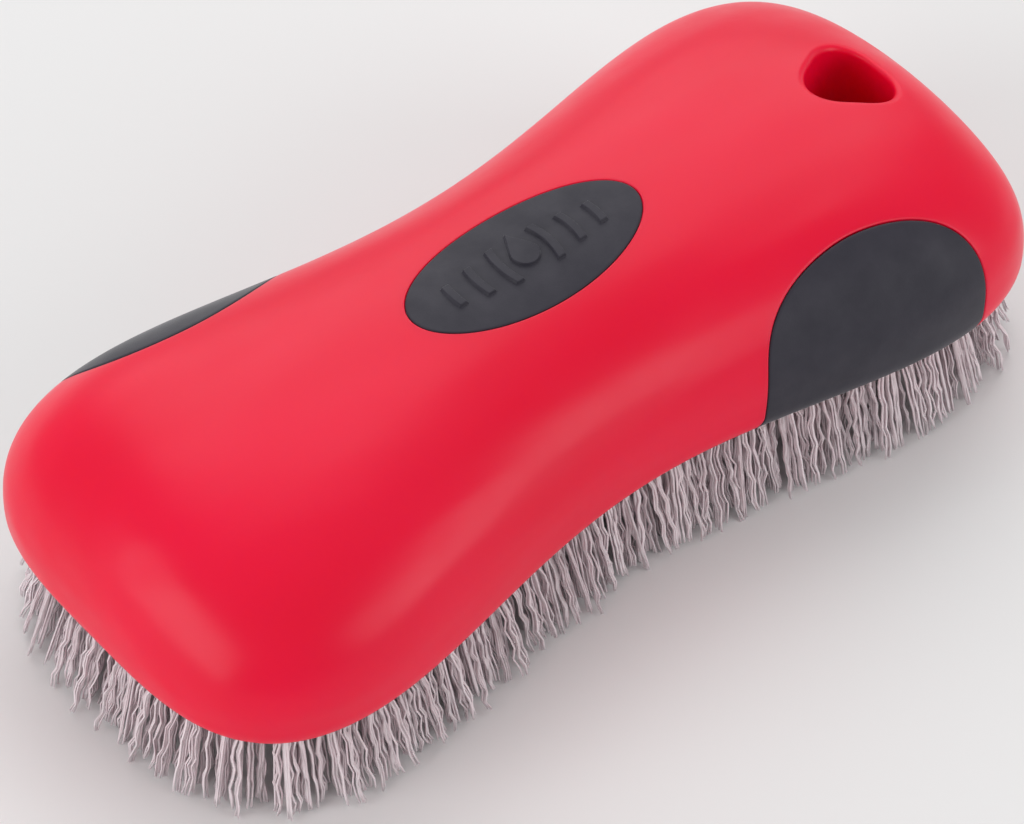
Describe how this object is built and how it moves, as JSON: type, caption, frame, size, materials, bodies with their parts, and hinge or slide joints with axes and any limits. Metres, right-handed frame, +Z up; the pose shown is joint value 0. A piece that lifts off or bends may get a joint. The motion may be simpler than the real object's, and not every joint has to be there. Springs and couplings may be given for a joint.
{
  "type": "wheel brush",
  "caption": "Palm-held scrub brush: a domed, dog-bone shaped shell with soft inlays and a hanging hole, over a dense block of crimped bristles.",
  "frame": {"origin": "centre of the brush's footprint, in the plane of the bristle tips", "axes": "+X along the brush towards the hanging hole, +Z up from the bristle tips to the dome, +Y to the side away from the right grip pad"},
  "size_m": [0.18, 0.0808, 0.0509],
  "materials": {
    "shell_red": "smooth moulded, softly glossy",
    "soft_black": "matt, fine moulded texture",
    "block_black": "moulded, fine texture",
    "bristle_grey": "crimped synthetic filament with a faint sheen",
    "anchor_steel": "drawn flat wire"
  },
  "bodies": {
    "root": {"handle_shell": "shell_red", "badge_inlay": "soft_black", "grip_pad_right": "soft_black", "grip_pad_left": "soft_black", "tuft_block": "block_black", "edge_tufts_1": "bristle_grey", "edge_tufts_2": "bristle_grey", "edge_tufts_3": "bristle_grey", "edge_tufts_4": "bristle_grey", "tuft_row_1": "bristle_grey", "tuft_row_2": "bristle_grey", "tuft_row_3": "bristle_grey", "tuft_row_4": "bristle_grey", "tuft_row_5": "bristle_grey", "tuft_row_6": "bristle_grey", "tuft_row_7": "bristle_grey", "tuft_row_8": "bristle_grey", "tuft_row_9": "bristle_grey", "edge_anchors_1": "anchor_steel", "edge_anchors_2": "anchor_steel", "edge_anchors_3": "anchor_steel", "edge_anchors_4": "anchor_steel", "anchor_row_1": "anchor_steel", "anchor_row_2": "anchor_steel", "anchor_row_3": "anchor_steel", "anchor_row_4": "anchor_steel", "anchor_row_5": "anchor_steel", "anchor_row_6": "anchor_steel", "anchor_row_7": "anchor_steel", "anchor_row_8": "anchor_steel", "anchor_row_9": "anchor_steel"}
  },
  "joints": []
}
